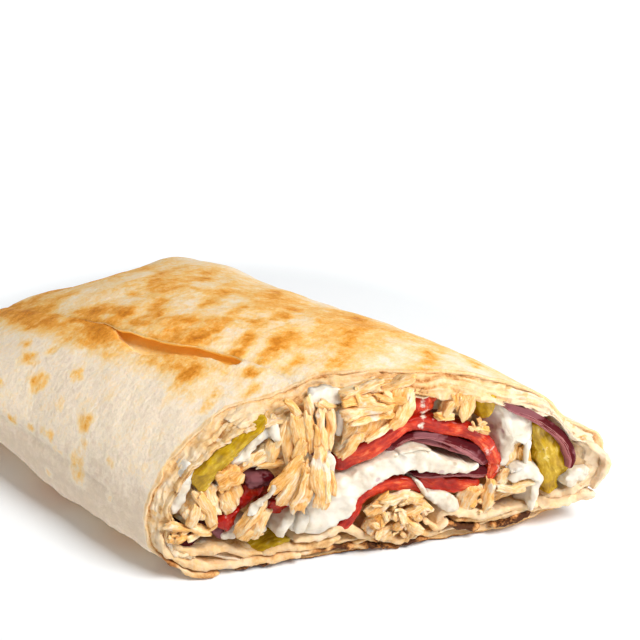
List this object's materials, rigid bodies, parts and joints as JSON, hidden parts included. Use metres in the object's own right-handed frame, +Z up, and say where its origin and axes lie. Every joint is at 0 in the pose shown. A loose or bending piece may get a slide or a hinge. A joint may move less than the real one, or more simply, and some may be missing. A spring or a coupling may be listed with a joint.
{
  "type": "chicken wrap half",
  "caption": "Half of a grilled flatbread wrap, cut on a slant to show chicken, white sauce, tomato, red onion and pickle, with a folded far end.",
  "frame": {"origin": "middle of the object's box, on the surface it rests on", "axes": "+Y along the roll from the slanted cut to the folded end, +Z up, +X across the roll"},
  "size_m": [0.0737, 0.144, 0.038],
  "materials": {
    "bread": "thin floury flatbread, toasted in patches",
    "chopped_filling": "moist chopped chicken and white sauce",
    "chicken": "moist, fibrous",
    "tomato": "wet",
    "onion": "wet",
    "pickle": "wet, slightly clear",
    "sauce": "creamy, satin"
  },
  "bodies": {
    "root": {"flatbread": "bread", "chopped_filling": "chopped_filling", "pickle_left": "pickle", "sauce_beside_pickle": "sauce", "chicken_left_upper": "chicken", "onion_left": "onion", "tomato_left": "tomato", "chicken_left_outer": "chicken", "chicken_left_pale": "chicken", "tomato_small": "tomato", "onion_cube": "onion", "onion_chip": "onion", "sauce_left_edge": "sauce", "chicken_corner": "chicken", "sauce_lower_left": "sauce", "chicken_coated": "chicken", "sauce_on_shred": "sauce", "chicken_shred_top": "chicken", "chicken_shred_left": "chicken", "chicken_shred_middle": "chicken", "chicken_shred_fan": "chicken", "sauce_on_shreds": "sauce", "sauce_upper": "sauce", "chicken_top_layer": "chicken", "chicken_top_block": "chicken", "chicken_flat": "chicken", "tomato_top": "tomato", "tomato_upper": "tomato", "tomato_lower": "tomato", "tomato_right": "tomato", "onion_arc_outer": "onion", "onion_arc_inner": "onion", "onion_lower": "onion", "sauce_middle": "sauce", "chicken_lower_upper": "chicken", "chicken_lower": "chicken", "sauce_lower_right": "sauce", "chicken_lower_right": "chicken", "chicken_right_upper": "chicken", "chicken_right_block": "chicken", "pickle_top": "pickle", "onion_strip_right": "onion", "pickle_right": "pickle", "sauce_right": "sauce", "chicken_right": "chicken", "sauce_lump_right": "sauce", "chicken_right_lower": "chicken"}
  },
  "joints": []
}
